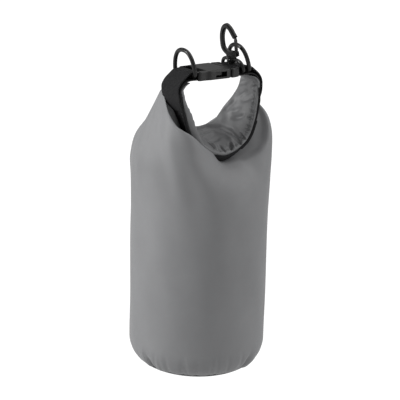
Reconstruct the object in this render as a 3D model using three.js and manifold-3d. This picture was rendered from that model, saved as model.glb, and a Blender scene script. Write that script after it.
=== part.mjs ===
// Roll-top dry bag, about 2 litres, closed: the mouth is folded over, its two ends are pulled up
// and joined by a side-release buckle, which makes the carrying handle.
// Millimetres, +Z up, +X along the mouth, -Y towards the hem of the folded mouth.
// The origin is the centre of the bottom, on the surface that the bag stands on.
import * as THREE from 'three';
import { mergeVertices } from 'three/addons/utils/BufferGeometryUtils.js';
import Module from 'manifold-3d';

const wasm = await Module();
wasm.setup();

// Driving dimensions
const BODY_RADIUS = 62.5;
const FLOOR_RADIUS = 36.5;
const EDGE_RADIUS = 26;
const CYLINDER_TOP = 165;
const WALL = 1.6;
const GAP = 0.3;
const SEAM_ANGLE = 0.56;
const WEBBING_WIDTH = 25;
const WEBBING = 1.3;
const STRAP_Y = -13.2;
const STRAP_Z = 277;
const PACKET_CENTRE = 7;
const PACKET_TOP = 3.2;
const EAR_END = 0.8;
const ARM_START = 0.4;
const ARM_SPLIT = 0.84;
const BUCKLE_HALF_WIDTH = 16.5;
const BUCKLE_THICK = 8.6;
const RING_BAR_X = 29.8;
const RING_BAR_RADIUS = 2.1;
const RING_HEIGHT = 21.8;
const RING_HALF_WIDTH = 14.8;
const HOOK_BAR_X = 22.9;
const HOOK_LEAN = 0.2;
const HOOK_TURN = -1.43;
const PRONG_Y = 9.4;

// Half of the folded mouth: the hem edge and the fold edge of its upper face, from the centre
// outwards and up one arm of the handle
const HEM = [
  [0, -36, 207.5], [8, -36, 209], [16, -36, 212.5], [23, -35.5, 217.5], [28, -35, 225],
  [32, -34, 235], [35.5, -31.8, 246], [39, -28.7, 256], [40.5, -26.5, 266],
];
const FOLD = [
  [0, 6, 225], [8, 6, 226], [16, 5.5, 228.5], [21, 5, 234], [25, 4, 240],
  [29, 2.5, 245], [33, 1, 250], [38, 0, 257], [40.5, -1, 266],
];

const fabric = new THREE.MeshStandardMaterial({ color: 0x8c8d8f, roughness: 0.7, metalness: 0 });
const lining = new THREE.MeshStandardMaterial({ color: 0x6f7072, roughness: 0.6, metalness: 0 });
const webbing = new THREE.MeshStandardMaterial({ color: 0x222324, roughness: 0.9, metalness: 0 });
const plastic = new THREE.MeshStandardMaterial({ color: 0x1b1b1c, roughness: 0.45, metalness: 0 });

const group = new THREE.Group();

function add(name, geometry, material) {
  const mesh = new THREE.Mesh(geometry, material);
  mesh.name = name;
  group.add(mesh);
  return mesh;
}

// A closed mesh from points and triangles, turned so that its faces point outwards
function closedGeometry(points, triangles) {
  let volume = 0;
  for (const [a, b, c] of triangles) {
    volume += points[a].dot(new THREE.Vector3().crossVectors(points[b], points[c]));
  }
  const turned = volume < 0 ? triangles.map(([a, b, c]) => [a, c, b]) : triangles;
  const geometry = new THREE.BufferGeometry();
  const values = points.flatMap((p) => [p.x, p.y, p.z]);
  geometry.setAttribute('position', new THREE.Float32BufferAttribute(values, 3));
  geometry.setIndex(turned.flat());
  return geometry;
}

// Rings of equal length joined into a tube; an open tube gets a flat cap at each end
function loft(rings, loop = false) {
  const n = rings[0].length;
  const m = rings.length;
  const points = rings.flat();
  const triangles = [];
  for (let j = 0; j < (loop ? m : m - 1); j += 1) {
    const k = (j + 1) % m;
    for (let i = 0; i < n; i += 1) {
      const h = (i + 1) % n;
      triangles.push([j * n + i, j * n + h, k * n + h], [j * n + i, k * n + h, k * n + i]);
    }
  }
  if (!loop) {
    for (let i = 1; i < n - 1; i += 1) {
      triangles.push([0, i + 1, i], [(m - 1) * n, (m - 1) * n + i, (m - 1) * n + i + 1]);
    }
  }
  return closedGeometry(points, triangles);
}

// Joining and cutting
function solid(geometry) {
  const plain = geometry.clone();
  plain.deleteAttribute('normal');
  plain.deleteAttribute('uv');
  const merged = mergeVertices(plain, 1e-4);
  return new wasm.Manifold(new wasm.Mesh({
    numProp: 3,
    vertProperties: new Float32Array(merged.attributes.position.array),
    triVerts: new Uint32Array(merged.index.array),
  }));
}

function geometryOf(manifold) {
  const mesh = manifold.getMesh();
  const geometry = new THREE.BufferGeometry();
  geometry.setAttribute('position', new THREE.BufferAttribute(new Float32Array(mesh.vertProperties), 3));
  geometry.setIndex(new THREE.BufferAttribute(new Uint32Array(mesh.triVerts), 1));
  return geometry;
}

function box(x0, x1, y0, y1, z0, z1) {
  const geometry = new THREE.BoxGeometry(x1 - x0, y1 - y0, z1 - z0);
  geometry.translate((x0 + x1) / 2, (y0 + y1) / 2, (z0 + z1) / 2);
  return solid(geometry);
}

// A plate in XY with rounded corners and bevelled rims, centred on z = 0
function plate(outline, corner, thick, bevel) {
  const shape = new THREE.Shape();
  const n = outline.length;
  for (let i = 0; i < n; i += 1) {
    const p = new THREE.Vector2(...outline[i]);
    const before = new THREE.Vector2(...outline[(i + n - 1) % n]).sub(p);
    const after = new THREE.Vector2(...outline[(i + 1) % n]).sub(p);
    const r = Math.min(corner, before.length() / 2, after.length() / 2);
    const a = before.setLength(r).add(p);
    const b = after.setLength(r).add(p);
    if (i === 0) shape.moveTo(a.x, a.y);
    else shape.lineTo(a.x, a.y);
    shape.quadraticCurveTo(p.x, p.y, b.x, b.y);
  }
  shape.closePath();
  const geometry = new THREE.ExtrudeGeometry(shape, {
    depth: thick - 2 * bevel,
    bevelEnabled: true,
    bevelThickness: bevel,
    bevelSize: bevel,
    bevelOffset: -bevel,
    bevelSegments: 2,
    curveSegments: 4,
  });
  geometry.translate(0, 0, -thick / 2 + bevel);
  return solid(geometry);
}

// The folded mouth
function mirroredCurve(half) {
  const right = half.map((p) => new THREE.Vector3(...p));
  const left = right.slice(1).reverse().map((p) => new THREE.Vector3(-p.x, p.y, p.z));
  return new THREE.CatmullRomCurve3([...left, ...right]);
}

const hemCurve = mirroredCurve(HEM);
const foldCurve = mirroredCurve(FOLD);

function smooth(a, b, v) {
  const s = Math.min(1, Math.max(0, (v - a) / (b - a)));
  return s * s * (3 - 2 * s);
}

function packetThickness(t) {
  return PACKET_CENTRE + (PACKET_TOP - PACKET_CENTRE) * smooth(0.6, 1, Math.abs(t));
}

// Hem point, fold point and outward direction of the folded mouth at t, from -1 to 1
function station(t) {
  const s = (t + 1) / 2;
  const hem = hemCurve.getPoint(s);
  const fold = foldCurve.getPoint(s);
  const along = hemCurve.getPoint(Math.min(1, s + 0.02)).sub(hemCurve.getPoint(Math.max(0, s - 0.02)));
  along.add(foldCurve.getPoint(Math.min(1, s + 0.02)).sub(foldCurve.getPoint(Math.max(0, s - 0.02))));
  const across = hem.clone().sub(fold).normalize();
  const out = new THREE.Vector3().crossVectors(along, across).normalize();
  return { hem, fold, across, out };
}

function packetSection(t) {
  const { hem, fold, across, out } = station(t);
  const thick = packetThickness(t);
  const c = thick * 0.32;
  const at = (edge, inset, depth) => edge.clone().addScaledVector(across, inset).addScaledVector(out, depth);
  return [
    at(hem, -c, 0), at(hem, 0, c), at(hem, 0, thick - c), at(hem, -c, thick),
    at(fold, c, thick), at(fold, 0, thick - c), at(fold, 0, c), at(fold, c, 0),
  ];
}

function bandSection(t) {
  const { hem, across, out } = station(t);
  const inner = packetThickness(t) + GAP;
  const at = (inset, depth) => hem.clone().addScaledVector(across, -inset).addScaledVector(out, depth);
  const far = 0.8 + WEBBING_WIDTH * 0.96;
  return [at(0.8, inner), at(0.8, inner + WEBBING), at(far, inner + WEBBING), at(far, inner)];
}

function along(section, from, to, steps) {
  const rings = [];
  for (let i = 0; i <= steps; i += 1) {
    rings.push(section(from + ((to - from) * i) / steps));
  }
  return loft(rings);
}

// The body: a hollow sack with a round bottom edge, whose top closes under the folded mouth
const AROUND = 40;

function circleAngle(i) {
  return (2 * Math.PI * i) / AROUND;
}

function rimPoint(i) {
  const half = AROUND / 2;
  const back = i <= half;
  const k = back ? i : AROUND - i;
  const t = EAR_END * Math.max(-1, Math.min(1, (half / 2 - k) / (half / 2 - 1)));
  const { hem, fold, out } = station(t);
  const depth = packetThickness(t) + GAP + WEBBING + 1.6;
  const front = hem.clone().addScaledVector(out, depth).add(new THREE.Vector3(0, -2.5, 0));
  const rear = fold.clone().addScaledVector(out, depth).add(new THREE.Vector3(0, 2.5, 0));
  if (i === 0 || i === half) return front.add(rear).multiplyScalar(0.5);
  return back ? rear : front;
}

function bodyRings() {
  const rings = [];
  for (const angle of [0.6, 0.85, 1.1, 1.35]) {
    const radius = FLOOR_RADIUS + EDGE_RADIUS * Math.sin(angle);
    rings.push([radius, EDGE_RADIUS * (1 - Math.cos(angle))]);
  }
  rings.push([BODY_RADIUS, EDGE_RADIUS], [BODY_RADIUS, 70], [BODY_RADIUS, 120], [BODY_RADIUS, CYLINDER_TOP]);
  const points = rings.map(([radius, z]) => {
    const ring = [];
    for (let i = 0; i < AROUND; i += 1) {
      const a = circleAngle(i);
      ring.push(new THREE.Vector3(radius * Math.cos(a), radius * Math.sin(a), z));
    }
    return ring;
  });
  for (const s of [0.2, 0.4, 0.6, 0.8, 0.92, 1]) {
    const ring = [];
    for (let i = 0; i < AROUND; i += 1) {
      const a = circleAngle(i);
      const start = new THREE.Vector3(BODY_RADIUS * Math.cos(a), BODY_RADIUS * Math.sin(a), CYLINDER_TOP);
      const end = rimPoint(i);
      const rise = end.z - CYLINDER_TOP;
      const lower = start.clone().add(new THREE.Vector3(0, 0, rise * 0.55));
      const upper = start.clone().lerp(end, 0.45);
      upper.z = end.z - rise * 0.08;
      ring.push(new THREE.CubicBezierCurve3(start, lower, upper, end).getPoint(s));
    }
    points.push(ring);
  }
  return points;
}

function lidTriangles(ring, base) {
  const last = ring - 1;
  const triangles = [[base, base + 1, base + last]];
  for (let i = 1; i < ring / 2 - 1; i += 1) {
    triangles.push([base + i, base + i + 1, base + ring - i - 1]);
    triangles.push([base + i, base + ring - i - 1, base + ring - i]);
  }
  triangles.push([base + ring / 2 - 1, base + ring / 2, base + ring / 2 + 1]);
  return triangles;
}

function bodyWall() {
  const rings = bodyRings();
  const outer = rings.flat();
  const n = AROUND;
  const m = rings.length;
  const skin = [];
  for (let j = 0; j < m - 1; j += 1) {
    for (let i = 0; i < n; i += 1) {
      const h = (i + 1) % n;
      skin.push([j * n + i, j * n + h, (j + 1) * n + h], [j * n + i, (j + 1) * n + h, (j + 1) * n + i]);
    }
  }
  skin.push(...lidTriangles(n, (m - 1) * n));
  const normals = outer.map(() => new THREE.Vector3());
  for (const [a, b, c] of skin) {
    const ab = outer[b].clone().sub(outer[a]);
    const ac = outer[c].clone().sub(outer[a]);
    const face = ab.cross(ac);
    for (const k of [a, b, c]) normals[k].add(face);
  }
  const inner = outer.map((p, k) => p.clone().addScaledVector(normals[k].normalize(), -WALL));
  const count = outer.length;
  const triangles = [...skin, ...skin.map(([a, b, c]) => [count + a, count + c, count + b])];
  for (let i = 0; i < n; i += 1) {
    const h = (i + 1) % n;
    triangles.push([i, count + i, count + h], [i, count + h, h]);
  }
  return closedGeometry([...outer, ...inner], triangles);
}

function latheZ(profile, segments) {
  const geometry = new THREE.LatheGeometry(profile.map(([r, z]) => new THREE.Vector2(r, z)), segments);
  geometry.rotateX(Math.PI / 2);
  return geometryOf(solid(geometry));
}

// The bottom disc, whose rim turns up into the round bottom edge
function bottomPanel() {
  const profile = [[0, 0], [FLOOR_RADIUS, 0]];
  const inner = [];
  for (let i = 1; i <= 4; i += 1) {
    const a = (SEAM_ANGLE * i) / 4;
    profile.push([FLOOR_RADIUS + EDGE_RADIUS * Math.sin(a), EDGE_RADIUS * (1 - Math.cos(a))]);
    inner.unshift([FLOOR_RADIUS + (EDGE_RADIUS - WALL) * Math.sin(a), EDGE_RADIUS - (EDGE_RADIUS - WALL) * Math.cos(a)]);
  }
  profile.push(...inner, [FLOOR_RADIUS, WALL], [0, WALL]);
  return latheZ(profile, 40);
}

// The sealing tape inside the bottom seam
function bottomTape() {
  const profile = [];
  for (const [radius, from, to] of [[EDGE_RADIUS - WALL - GAP, 0.4, 0.8], [EDGE_RADIUS - WALL - 1, 0.8, 0.4]]) {
    for (let i = 0; i <= 3; i += 1) {
      const a = from + ((to - from) * i) / 3;
      profile.push([FLOOR_RADIUS + radius * Math.sin(a), EDGE_RADIUS - radius * Math.cos(a)]);
    }
  }
  profile.push(profile[0]);
  return latheZ(profile, 40);
}

// The sealing tape inside the upright seam at the back
function backTape() {
  const rings = [];
  const radius = BODY_RADIUS - WALL - 0.6;
  for (let i = 0; i <= 6; i += 1) {
    const a = Math.PI / 2 + (i - 3) * 0.05;
    const at = (r, z) => new THREE.Vector3(r * Math.cos(a), r * Math.sin(a), z);
    rings.push([at(radius, 30), at(radius - 0.8, 30), at(radius - 0.8, 160), at(radius, 160)]);
  }
  return loft(rings);
}

// A flat ribbon that follows a path in the XZ plane, given as [x, z]
function ribbon(path, width, thick) {
  const curve = new THREE.CatmullRomCurve3(path.map(([x, z]) => new THREE.Vector3(x, 0, z)), false, 'centripetal');
  const steps = path.length * 3;
  const rings = [];
  for (let i = 0; i <= steps; i += 1) {
    const p = curve.getPointAt(i / steps);
    const tangent = curve.getTangentAt(i / steps);
    const side = new THREE.Vector3(-tangent.z, 0, tangent.x).multiplyScalar(thick / 2);
    const at = (sign, y) => p.clone().addScaledVector(side, sign).setY(y);
    const y0 = STRAP_Y - width / 2;
    const y1 = STRAP_Y + width / 2;
    rings.push([at(1, y0), at(1, y1), at(-1, y1), at(-1, y0)]);
  }
  return loft(rings);
}

// One end of the webbing: up the outer side of the arm, over its top, round the buckle's bar,
// back over the ring's bar and down the arm again as a sewn tail. bars lists the bars between
// the two layers, from the arm inwards.
function webbingLoop(sign, barX, bars) {
  const under = STRAP_Z - RING_BAR_RADIUS - GAP - WEBBING / 2 - 0.15;
  const over = STRAP_Z + RING_BAR_RADIUS + GAP + WEBBING / 2 + 0.15;
  const reach = 2.9;
  const path = [[44.7, 254.5], [44.7, 259], [44.6, 264.5], [42.6, 270], [38.2, 273.7], [33, under]];
  for (const x of bars) path.push([x, under]);
  path.push([barX, STRAP_Z - reach], [barX - reach * 0.71, STRAP_Z - reach * 0.71], [barX - reach, STRAP_Z]);
  path.push([barX - reach * 0.71, STRAP_Z + reach * 0.71], [barX, STRAP_Z + reach]);
  for (const x of [...bars].reverse()) path.push([x, over]);
  path.push([33.5, over - 0.4], [39.5, 276.4], [44.6, 271.6], [46.5, 265], [46.5, 260.5]);
  return ribbon(path.map(([x, z]) => [sign * x, z]), WEBBING_WIDTH, WEBBING);
}

// A loop of round section in the YZ plane, leaning about its bar
function sweepLoop(points, radius, sides) {
  const n = points.length;
  const rings = points.map((p, i) => {
    const tangent = points[(i + 1) % n].clone().sub(points[(i + n - 1) % n]).normalize();
    const flat = new THREE.Vector3(1, 0, 0);
    const side = new THREE.Vector3().crossVectors(tangent, flat);
    const ring = [];
    for (let k = 0; k < sides; k += 1) {
      const a = (2 * Math.PI * (k + 0.5)) / sides;
      const offset = flat.clone().multiplyScalar(Math.cos(a) * radius);
      ring.push(p.clone().add(offset.addScaledVector(side, Math.sin(a) * radius)));
    }
    return ring;
  });
  return loft(rings, true);
}

function archPoints(halfWidth, height, square, steps) {
  const points = [];
  const bar = 7;
  for (let i = 0; i < bar; i += 1) {
    points.push(new THREE.Vector3(0, halfWidth * 0.86 * ((2 * i) / (bar - 1) - 1), 0));
  }
  points.push(new THREE.Vector3(0, halfWidth * 0.97, height * 0.05));
  for (let i = 0; i <= steps; i += 1) {
    const a = 0.12 + ((Math.PI - 0.24) * i) / steps;
    const y = halfWidth * Math.sign(Math.cos(a)) * Math.abs(Math.cos(a)) ** square;
    points.push(new THREE.Vector3(0, y, height * Math.sin(a) ** 0.9));
  }
  points.push(new THREE.Vector3(0, -halfWidth * 0.97, height * 0.05));
  return points;
}

function dRing(name, x, lean) {
  const geometry = sweepLoop(archPoints(RING_HALF_WIDTH, RING_HEIGHT, 0.85, 22), RING_BAR_RADIUS, 8);
  const mesh = add(name, geometry, plastic);
  mesh.position.set(x, STRAP_Y, STRAP_Z);
  mesh.rotation.y = lean;
}

// The socket half of the buckle, with its own strap bar
function buckleFemale() {
  const w = BUCKLE_HALF_WIDTH;
  const outline = [
    [-26.5, -w + 1], [-18, -w + 1], [-14, -w], [8.4, -w], [8.4, w], [-14, w], [-18, w - 1], [-26.5, w - 1],
  ];
  let body = plate(outline, 2.5, BUCKLE_THICK, 1.2);
  body = body.subtract(box(-12.5, 9, -13.4, 13.4, -2.6, 2.6));
  body = body.subtract(box(-23.6, -16.6, -12.9, 12.9, -6, 6));
  body = body.subtract(box(-28, -23.4, -12.9, 12.9, 1.5, 6));
  body = body.subtract(box(-28, -23.4, -12.9, 12.9, -6, -1.5));
  body = body.subtract(box(-8.5, 3.2, -18, 18, -2.3, 2.3));
  return body;
}

// The tongue half: strap bar, flange and the guide between the two prongs
function buckleMale() {
  const w = BUCKLE_HALF_WIDTH;
  const outline = [[8.8, -w], [13, -w], [18.8, -w + 1.6], [18.8, w - 1.6], [13, w], [8.8, w]];
  let body = plate(outline, 2.2, BUCKLE_THICK, 1.2);
  const tongue = plate([[-9, -2.2], [9.5, -2.2], [9.5, 2.2], [-9, 2.2]], 1.4, 4.2, 0.6);
  body = body.add(tongue);
  body = body.subtract(box(12.3, 15.8, -12.9, 12.9, -6, 6));
  body = body.subtract(box(15.6, 22, -12.9, 12.9, 1.5, 6));
  body = body.subtract(box(15.6, 22, -12.9, 12.9, -6, -1.5));
  for (const y of [-PRONG_Y, PRONG_Y]) {
    body = body.subtract(box(8, 11.6, y - 2.1, y + 2.1, -2.4, 2.4));
  }
  return body;
}

function prong(side) {
  const y = side * PRONG_Y;
  const outline = [
    [11.2, y - side * 1.6], [11.2, y + side * 1.6], [1.8, y + side * 1.6], [0.6, side * 13],
    [-6.5, side * 13], [-10.5, y + side * 0.8], [-10.5, y - side * 1.2],
  ];
  return plate(side > 0 ? outline : [...outline].reverse(), 0.9, 4, 0.7);
}

function place(name, manifold, material) {
  const mesh = add(name, geometryOf(manifold), material);
  mesh.position.set(0, STRAP_Y, STRAP_Z);
  return mesh;
}

// The snap hook, upright about its own axis: the base loop carries a collar, and the hook's stem
// turns in it
function cylinderZ(radius, z0, z1, sides = 20) {
  const geometry = new THREE.CylinderGeometry(radius, radius, z1 - z0, sides);
  geometry.rotateX(Math.PI / 2);
  geometry.translate(0, 0, (z0 + z1) / 2);
  return solid(geometry);
}

function hookBase() {
  let base = solid(sweepLoop(archPoints(15, 9.2, 0.42, 18), 1.8, 8));
  base = base.add(cylinderZ(4.3, 7.4, 10.6));
  base = base.subtract(cylinderZ(2.5, 4, 12));
  return base;
}

function sweepPath(points, half, sides) {
  const n = points.length;
  const rings = points.map(([x, z], i) => {
    const a = points[Math.max(0, i - 1)];
    const b = points[Math.min(n - 1, i + 1)];
    const tangent = new THREE.Vector3(b[0] - a[0], 0, b[1] - a[1]).normalize();
    const side = new THREE.Vector3(-tangent.z, 0, tangent.x);
    const ring = [];
    for (let k = 0; k < sides; k += 1) {
      const t = (2 * Math.PI * (k + 0.5)) / sides;
      const p = new THREE.Vector3(x, Math.cos(t) * half, z);
      ring.push(p.addScaledVector(side, Math.sin(t) * half));
    }
    return ring;
  });
  return solid(loft(rings));
}

function smoothPath(points, steps) {
  const curve = new THREE.CatmullRomCurve3(points.map(([x, z]) => new THREE.Vector3(x, 0, z)), false, 'centripetal');
  return curve.getPoints(steps).map((p) => [p.x, p.z]);
}

function hookBody() {
  const spine = smoothPath([
    [0, 13.6], [-5, 15], [-8.4, 18.8], [-8.9, 25.4], [-7.6, 32.4], [-4.6, 37.8], [-0.8, 39.8], [2.8, 37.2],
    [5.5, 32.8], [7.6, 29.4],
  ], 30);
  let hook = sweepPath(spine, 2.5, 8);
  hook = hook.add(cylinderZ(4.6, 10.9, 13.2));
  hook = hook.add(solid(new THREE.BoxGeometry(11.5, 5, 4.2).translate(1.6, 0, 14.2)));
  hook = hook.add(cylinderZ(2.2, 6.6, 12));
  hook = hook.add(cylinderZ(3.2, 5.4, 7.1));
  hook = hook.subtract(solid(new THREE.BoxGeometry(8.6, 2.6, 6).translate(8.2, 0, 16.2)));
  hook = hook.subtract(solid(new THREE.BoxGeometry(8, 2, 5).translate(7, 0, 29)));
  return hook;
}

function hookGate() {
  const path = [[6.3, 14.6], [6.8, 18], [7.2, 23], [7.5, 27], [7.6, 29.6]];
  const rings = path.map(([x, z], i) => {
    const hx = i === 4 ? 0.8 : 1.2;
    const hy = i === 0 || i === 4 ? 0.7 : 1;
    return [
      new THREE.Vector3(x - hx, -hy, z), new THREE.Vector3(x + hx, -hy, z),
      new THREE.Vector3(x + hx, hy, z), new THREE.Vector3(x - hx, hy, z),
    ];
  });
  return solid(loft(rings));
}

add('bottom_panel', bottomPanel(), fabric);
add('bottom_seam_tape', bottomTape(), lining);
add('back_seam_tape', backTape(), lining);
add('body_wall', bodyWall(), fabric);
add('mouth_roll_centre', along(packetSection, -ARM_START, ARM_START, 14), fabric);
add('mouth_arm_left', along(packetSection, -ARM_START - 0.006, -ARM_SPLIT + 0.006, 8), fabric);
add('mouth_arm_right', along(packetSection, ARM_START + 0.006, ARM_SPLIT - 0.006, 8), fabric);
add('mouth_tip_left', along(packetSection, -ARM_SPLIT - 0.006, -1, 4), fabric);
add('mouth_tip_right', along(packetSection, ARM_SPLIT + 0.006, 1, 4), fabric);
add('webbing_band', along(bandSection, -EAR_END, EAR_END, 30), webbing);
add('webbing_left', webbingLoop(-1, 25, [RING_BAR_X]), webbing);
add('webbing_right', webbingLoop(1, 17.3, [RING_BAR_X, HOOK_BAR_X]), webbing);
dRing('d_ring_left', -RING_BAR_X, -0.14);
dRing('d_ring_right', RING_BAR_X, -0.2);
place('buckle_female', buckleFemale(), plastic);
place('buckle_male', buckleMale(), plastic);
place('prong_front', prong(-1), plastic);
place('prong_back', prong(1), plastic);

const hook = new THREE.Group();
hook.position.set(HOOK_BAR_X, STRAP_Y, STRAP_Z);
hook.rotation.y = -HOOK_LEAN;
group.add(hook);
const swivel = new THREE.Group();
swivel.rotation.z = HOOK_TURN;
hook.add(swivel);
for (const [name, manifold, parent] of [
  ['hook_base', hookBase(), hook], ['hook_body', hookBody(), swivel], ['hook_gate', hookGate(), swivel],
]) {
  const mesh = new THREE.Mesh(geometryOf(manifold), plastic);
  mesh.name = name;
  parent.add(mesh);
}

export default group;
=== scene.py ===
import math

import bmesh
import bpy
import numpy as np
from mathutils import Matrix, Vector


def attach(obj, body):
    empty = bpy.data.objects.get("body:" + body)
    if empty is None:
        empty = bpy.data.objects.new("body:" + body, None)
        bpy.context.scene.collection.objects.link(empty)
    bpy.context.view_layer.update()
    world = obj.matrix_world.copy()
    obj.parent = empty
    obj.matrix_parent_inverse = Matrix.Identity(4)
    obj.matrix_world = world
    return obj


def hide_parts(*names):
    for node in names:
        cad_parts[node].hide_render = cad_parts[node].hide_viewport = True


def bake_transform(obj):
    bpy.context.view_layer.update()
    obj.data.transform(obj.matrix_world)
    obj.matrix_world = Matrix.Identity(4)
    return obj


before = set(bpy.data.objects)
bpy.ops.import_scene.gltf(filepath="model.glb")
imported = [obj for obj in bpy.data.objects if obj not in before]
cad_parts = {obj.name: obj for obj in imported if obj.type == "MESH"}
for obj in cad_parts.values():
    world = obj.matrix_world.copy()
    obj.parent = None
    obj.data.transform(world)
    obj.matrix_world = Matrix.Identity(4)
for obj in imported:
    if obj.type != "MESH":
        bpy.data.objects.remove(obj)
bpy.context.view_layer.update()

# ---------------------------------------------------------------- dimensions, millimetres
MM = 0.001
BODY_RADIUS = 62.5
FLOOR_RADIUS = 36.5
EDGE_RADIUS = 26
BASE_SEAM_Z = 4.0
WEBBING_WIDTH = 25
WEBBING = 1.3
STRAP_Y = -13.2
STRAP_Z = 277
PACKET_CENTRE = 7
PACKET_TOP = 3.2
BAND_REACH = 24.8
BAND_GAP = 0.25
SHELL_THICKNESS = 0.9
BASE_THICKNESS = 1.2
STITCH_PITCH = 3.0
STITCH_SAMPLES = 400
FLAP_STITCH_INSIDE = 4.6
THREAD_PITCH = 0.00055  # metres, in the shaders
WEBBING_COLUMN = 0.0017
WEBBING_RIB = 0.0011
WELD_DISTANCE = 0.00001

# The mouth's two long edges from the middle to the right end; the left half mirrors them.
HEM_HALF = [(0, -36, 207.5), (8, -36, 209), (16, -36, 212.5), (23, -35.5, 217.5), (28, -35, 225),
            (32, -34, 235), (35.5, -31.8, 246), (39, -28.7, 256), (40.5, -26.5, 266)]
FOLD_HALF = [(0, 6, 225), (8, 6, 226), (16, 5.5, 228.5), (21, 5, 234), (25, 4, 240),
             (29, 2.5, 245), (33, 1, 250), (38, 0, 257), (40.5, -1, 266)]


# ---------------------------------------------------------------- curves
def smoothstep(x, a=0.0, b=1.0):
    t = np.clip((np.asarray(x, float) - a) / (b - a), 0, 1)
    return t * t * (3 - 2 * t)


def hermite(keys, values, at):
    """Smooth interpolation of rows of values given at increasing keys."""
    keys = np.asarray(keys, float)
    values = np.asarray(values, float)
    if values.ndim == 1:
        return hermite(keys, values[:, None], at)[..., 0]
    at = np.clip(np.asarray(at, float), keys[0], keys[-1])
    step = np.diff(keys)[:, None]
    slope = np.diff(values, axis=0) / step
    tangent = np.vstack([slope[:1], (slope[:-1] * step[1:] + slope[1:] * step[:-1])
                         / (step[1:] + step[:-1]), slope[-1:]])
    k = np.clip(np.searchsorted(keys, at, side="right") - 1, 0, len(keys) - 2)
    h = (keys[k + 1] - keys[k])[..., None]
    s = ((at - keys[k])[..., None]) / h
    p0, p1, m0, m1 = values[k], values[k + 1], tangent[k] * h, tangent[k + 1] * h
    return ((2 * s**3 - 3 * s**2 + 1) * p0 + (s**3 - 2 * s**2 + s) * m0
            + (3 * s**2 - 2 * s**3) * p1 + (s**3 - s**2) * m1)


def whole(half):
    """Both halves of an edge, from its right half."""
    left = [(-x, y, z) for x, y, z in half[:0:-1]]
    return np.array(left + half, float)


HEM = whole(HEM_HALF)
FOLD = whole(FOLD_HALF)
KEYS = np.linspace(-1, 1, len(HEM))


def hem(t):
    return hermite(KEYS, HEM, t)


def fold(t):
    return hermite(KEYS, FOLD, t)


def unit(v):
    return v / np.maximum(np.linalg.norm(v, axis=-1, keepdims=True), 1e-9)


def outward(t):
    """Unit vector off the mouth's upper face, towards the outside of the bag."""
    t = np.asarray(t, float)
    e = 0.02
    a, b = np.clip(t - e, -1, 1), np.clip(t + e, -1, 1)
    along = (hem(b) + fold(b)) - (hem(a) + fold(a))
    return unit(np.cross(along, hem(t) - fold(t)))


def packet_thickness(t):
    return PACKET_CENTRE + (PACKET_TOP - PACKET_CENTRE) * smoothstep(np.abs(t), 0.6, 1)


def hem_thickness(t):
    """The rolled layers at the hem edge: pressed thin on the right arm, full elsewhere."""
    t = np.asarray(t, float)
    pressed = smoothstep(t, -0.06, 0.3) * (1 - smoothstep(t, 0.55, 0.95))
    return packet_thickness(t) - 4.8 * pressed - 0.3


def on_packet(t, inside, below):
    """A point `inside` mm from the hem edge, `below` mm off the upper face, towards the outside."""
    t = np.asarray(t, float)
    h, f = hem(t), fold(t)
    return h + unit(f - h) * np.asarray(inside)[..., None] + outward(t) * np.asarray(below)[..., None]


# ---------------------------------------------------------------- mesh helpers
def mesh_object(name, points, faces, uvs=None):
    """points in mm; uvs per vertex in metres."""
    data = bpy.data.meshes.new(name)
    data.from_pydata([tuple(p) for p in np.asarray(points, float) * MM], [], faces)
    data.validate()
    obj = bpy.data.objects.new(name, data)
    bpy.context.scene.collection.objects.link(obj)
    if uvs is not None:
        layer = data.uv_layers.new(name="cloth")
        uvs = np.asarray(uvs, float)
        loops = np.empty(len(data.loops), int)
        data.loops.foreach_get("vertex_index", loops)
        layer.data.foreach_set("uv", uvs[loops].ravel())
    for polygon in data.polygons:
        polygon.use_smooth = True
    return obj


def lengths_along(points):
    """Distance from the first point to each of them."""
    return np.concatenate([[0], np.cumsum(np.linalg.norm(np.diff(points, axis=0), axis=1))])


def grid_faces(rows, columns, close_columns=False, start=0):
    faces = []
    for i in range(rows - 1):
        for j in range(columns if close_columns else columns - 1):
            a = start + i * columns
            b = a + columns
            k = (j + 1) % columns
            faces.append((a + j, a + k, b + k, b + j))
    return faces


def fix_normals(obj):
    bm = bmesh.new()
    bm.from_mesh(obj.data)
    bmesh.ops.recalc_face_normals(bm, faces=bm.faces)
    bm.to_mesh(obj.data)
    bm.free()


def apply_modifiers(obj):
    graph = bpy.context.evaluated_depsgraph_get()
    data = bpy.data.meshes.new_from_object(obj.evaluated_get(graph), depsgraph=graph)
    old = obj.data
    obj.modifiers.clear()
    obj.data = data
    bpy.data.meshes.remove(old)
    for polygon in obj.data.polygons:
        polygon.use_smooth = True


def thicken(grid, depth):
    """A closed slab from a grid of points: the grid, its offset copy, and the four edges."""
    rows, columns = grid.shape[:2]
    du = np.gradient(grid, axis=0)
    dv = np.gradient(grid, axis=1)
    normal = unit(np.cross(du, dv))
    back = grid - normal * depth
    points = np.vstack([grid.reshape(-1, 3), back.reshape(-1, 3)])
    n = rows * columns
    faces = grid_faces(rows, columns)
    faces += [f[::-1] for f in grid_faces(rows, columns, start=n)]
    border = [(0, j) for j in range(columns)] + [(i, columns - 1) for i in range(1, rows)]
    border += [(rows - 1, j) for j in range(columns - 2, -1, -1)]
    border += [(i, 0) for i in range(rows - 2, 0, -1)]
    ids = [i * columns + j for i, j in border]
    for a, b in zip(ids, ids[1:] + ids[:1]):
        faces.append((b, a, a + n, b + n))
    return points, faces


def bell(offset, width):
    """1 at no offset, falling off smoothly over the width."""
    return np.exp(-((offset / width) ** 2))


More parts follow.
